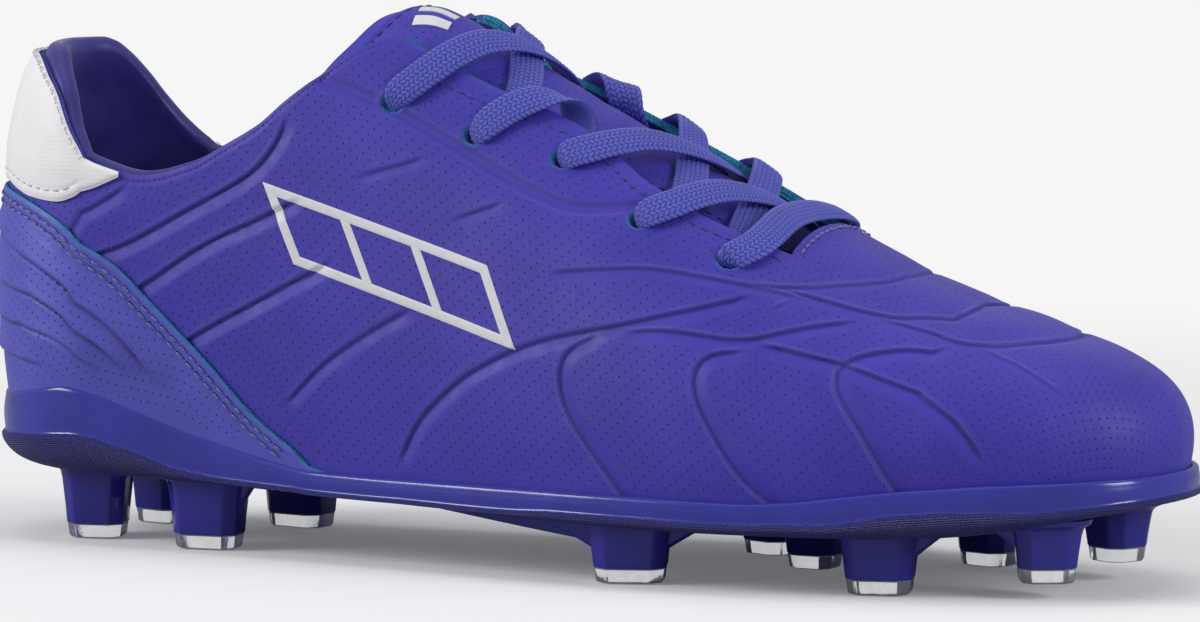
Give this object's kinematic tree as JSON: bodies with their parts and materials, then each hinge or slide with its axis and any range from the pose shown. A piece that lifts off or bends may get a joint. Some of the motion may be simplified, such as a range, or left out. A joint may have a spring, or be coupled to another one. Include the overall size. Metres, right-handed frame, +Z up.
{
  "type": "soccer boot",
  "caption": "Low-cut laced soccer boot for the right foot, with moulded stud plate, perforated upper, padded collar and tongue, and removable insole.",
  "frame": {"origin": "on the ground plane, below the middle of the boot's length and on its centre line (centre of the bounding box's bottom face)", "axes": "+X from heel to toe, -Y towards the outer (lateral) side of the foot, +Z up"},
  "size_m": [0.2245, 0.0739, 0.0972],
  "materials": {
    "plate": "moulded TPU, glossy with a fine knurled lower band",
    "clear_tip": "clear moulded TPU",
    "board": "non-woven board",
    "insole_foam": "moulded EVA foam",
    "insole_cover": "brushed knit",
    "upper": "matte coated synthetic leather, finely perforated",
    "lining": "thin knit lining",
    "stiffener": "thermoplastic stiffener sheet",
    "overlay": "matte coated synthetic leather with raw cut edge",
    "tab": "white matte synthetic leather",
    "padding": "open-cell foam",
    "collar": "satin collar lining",
    "backing": "teal woven backing",
    "badge": null,
    "lace": "flat woven lace",
    "aglet": "film-wrapped lace end",
    "print": null,
    "thread": "sewing thread",
    "thread_pale": "sewing thread"
  },
  "bodies": {
    "boot": {"outsole_plate": "plate", "stud_tips_heel": "clear_tip", "stud_tips_forefoot": "clear_tip", "strobel_board": "board", "upper_shell": "upper", "quarter_lining": "lining", "heel_counter": "stiffener", "toe_puff": "stiffener", "heel_overlay": "overlay", "heel_tab": "tab", "collar_foam": "padding", "collar_lining": "collar", "eyestay_backing_lateral": "backing", "eyestay_backing_medial": "backing", "shoelace": "lace", "lace_aglets": "aglet", "side_print_lateral": "print", "side_print_medial": "print", "heel_stitching": "thread", "throat_stitching": "thread", "tab_stitching": "thread_pale"},
    "tongue": {"tongue_face": "upper", "tongue_foam": "padding", "tongue_lining": "collar", "tongue_badge": "badge"},
    "sockliner": {"sockliner_foam": "insole_foam", "sockliner_cover": "insole_cover"}
  },
  "joints": [
    {"name": "tongue_press", "type": "hinge", "parent": "boot", "child": "tongue", "pos_m": [0.0393, 0, 0.055], "axis": [0, -1, 0], "range_deg": [0, 10]},
    {"name": "sockliner_lift", "type": "hinge", "parent": "boot", "child": "sockliner", "pos_m": [0.1063, 0, 0.0165], "axis": [0, 1, 0], "range_deg": [0, 6]}
  ]
}
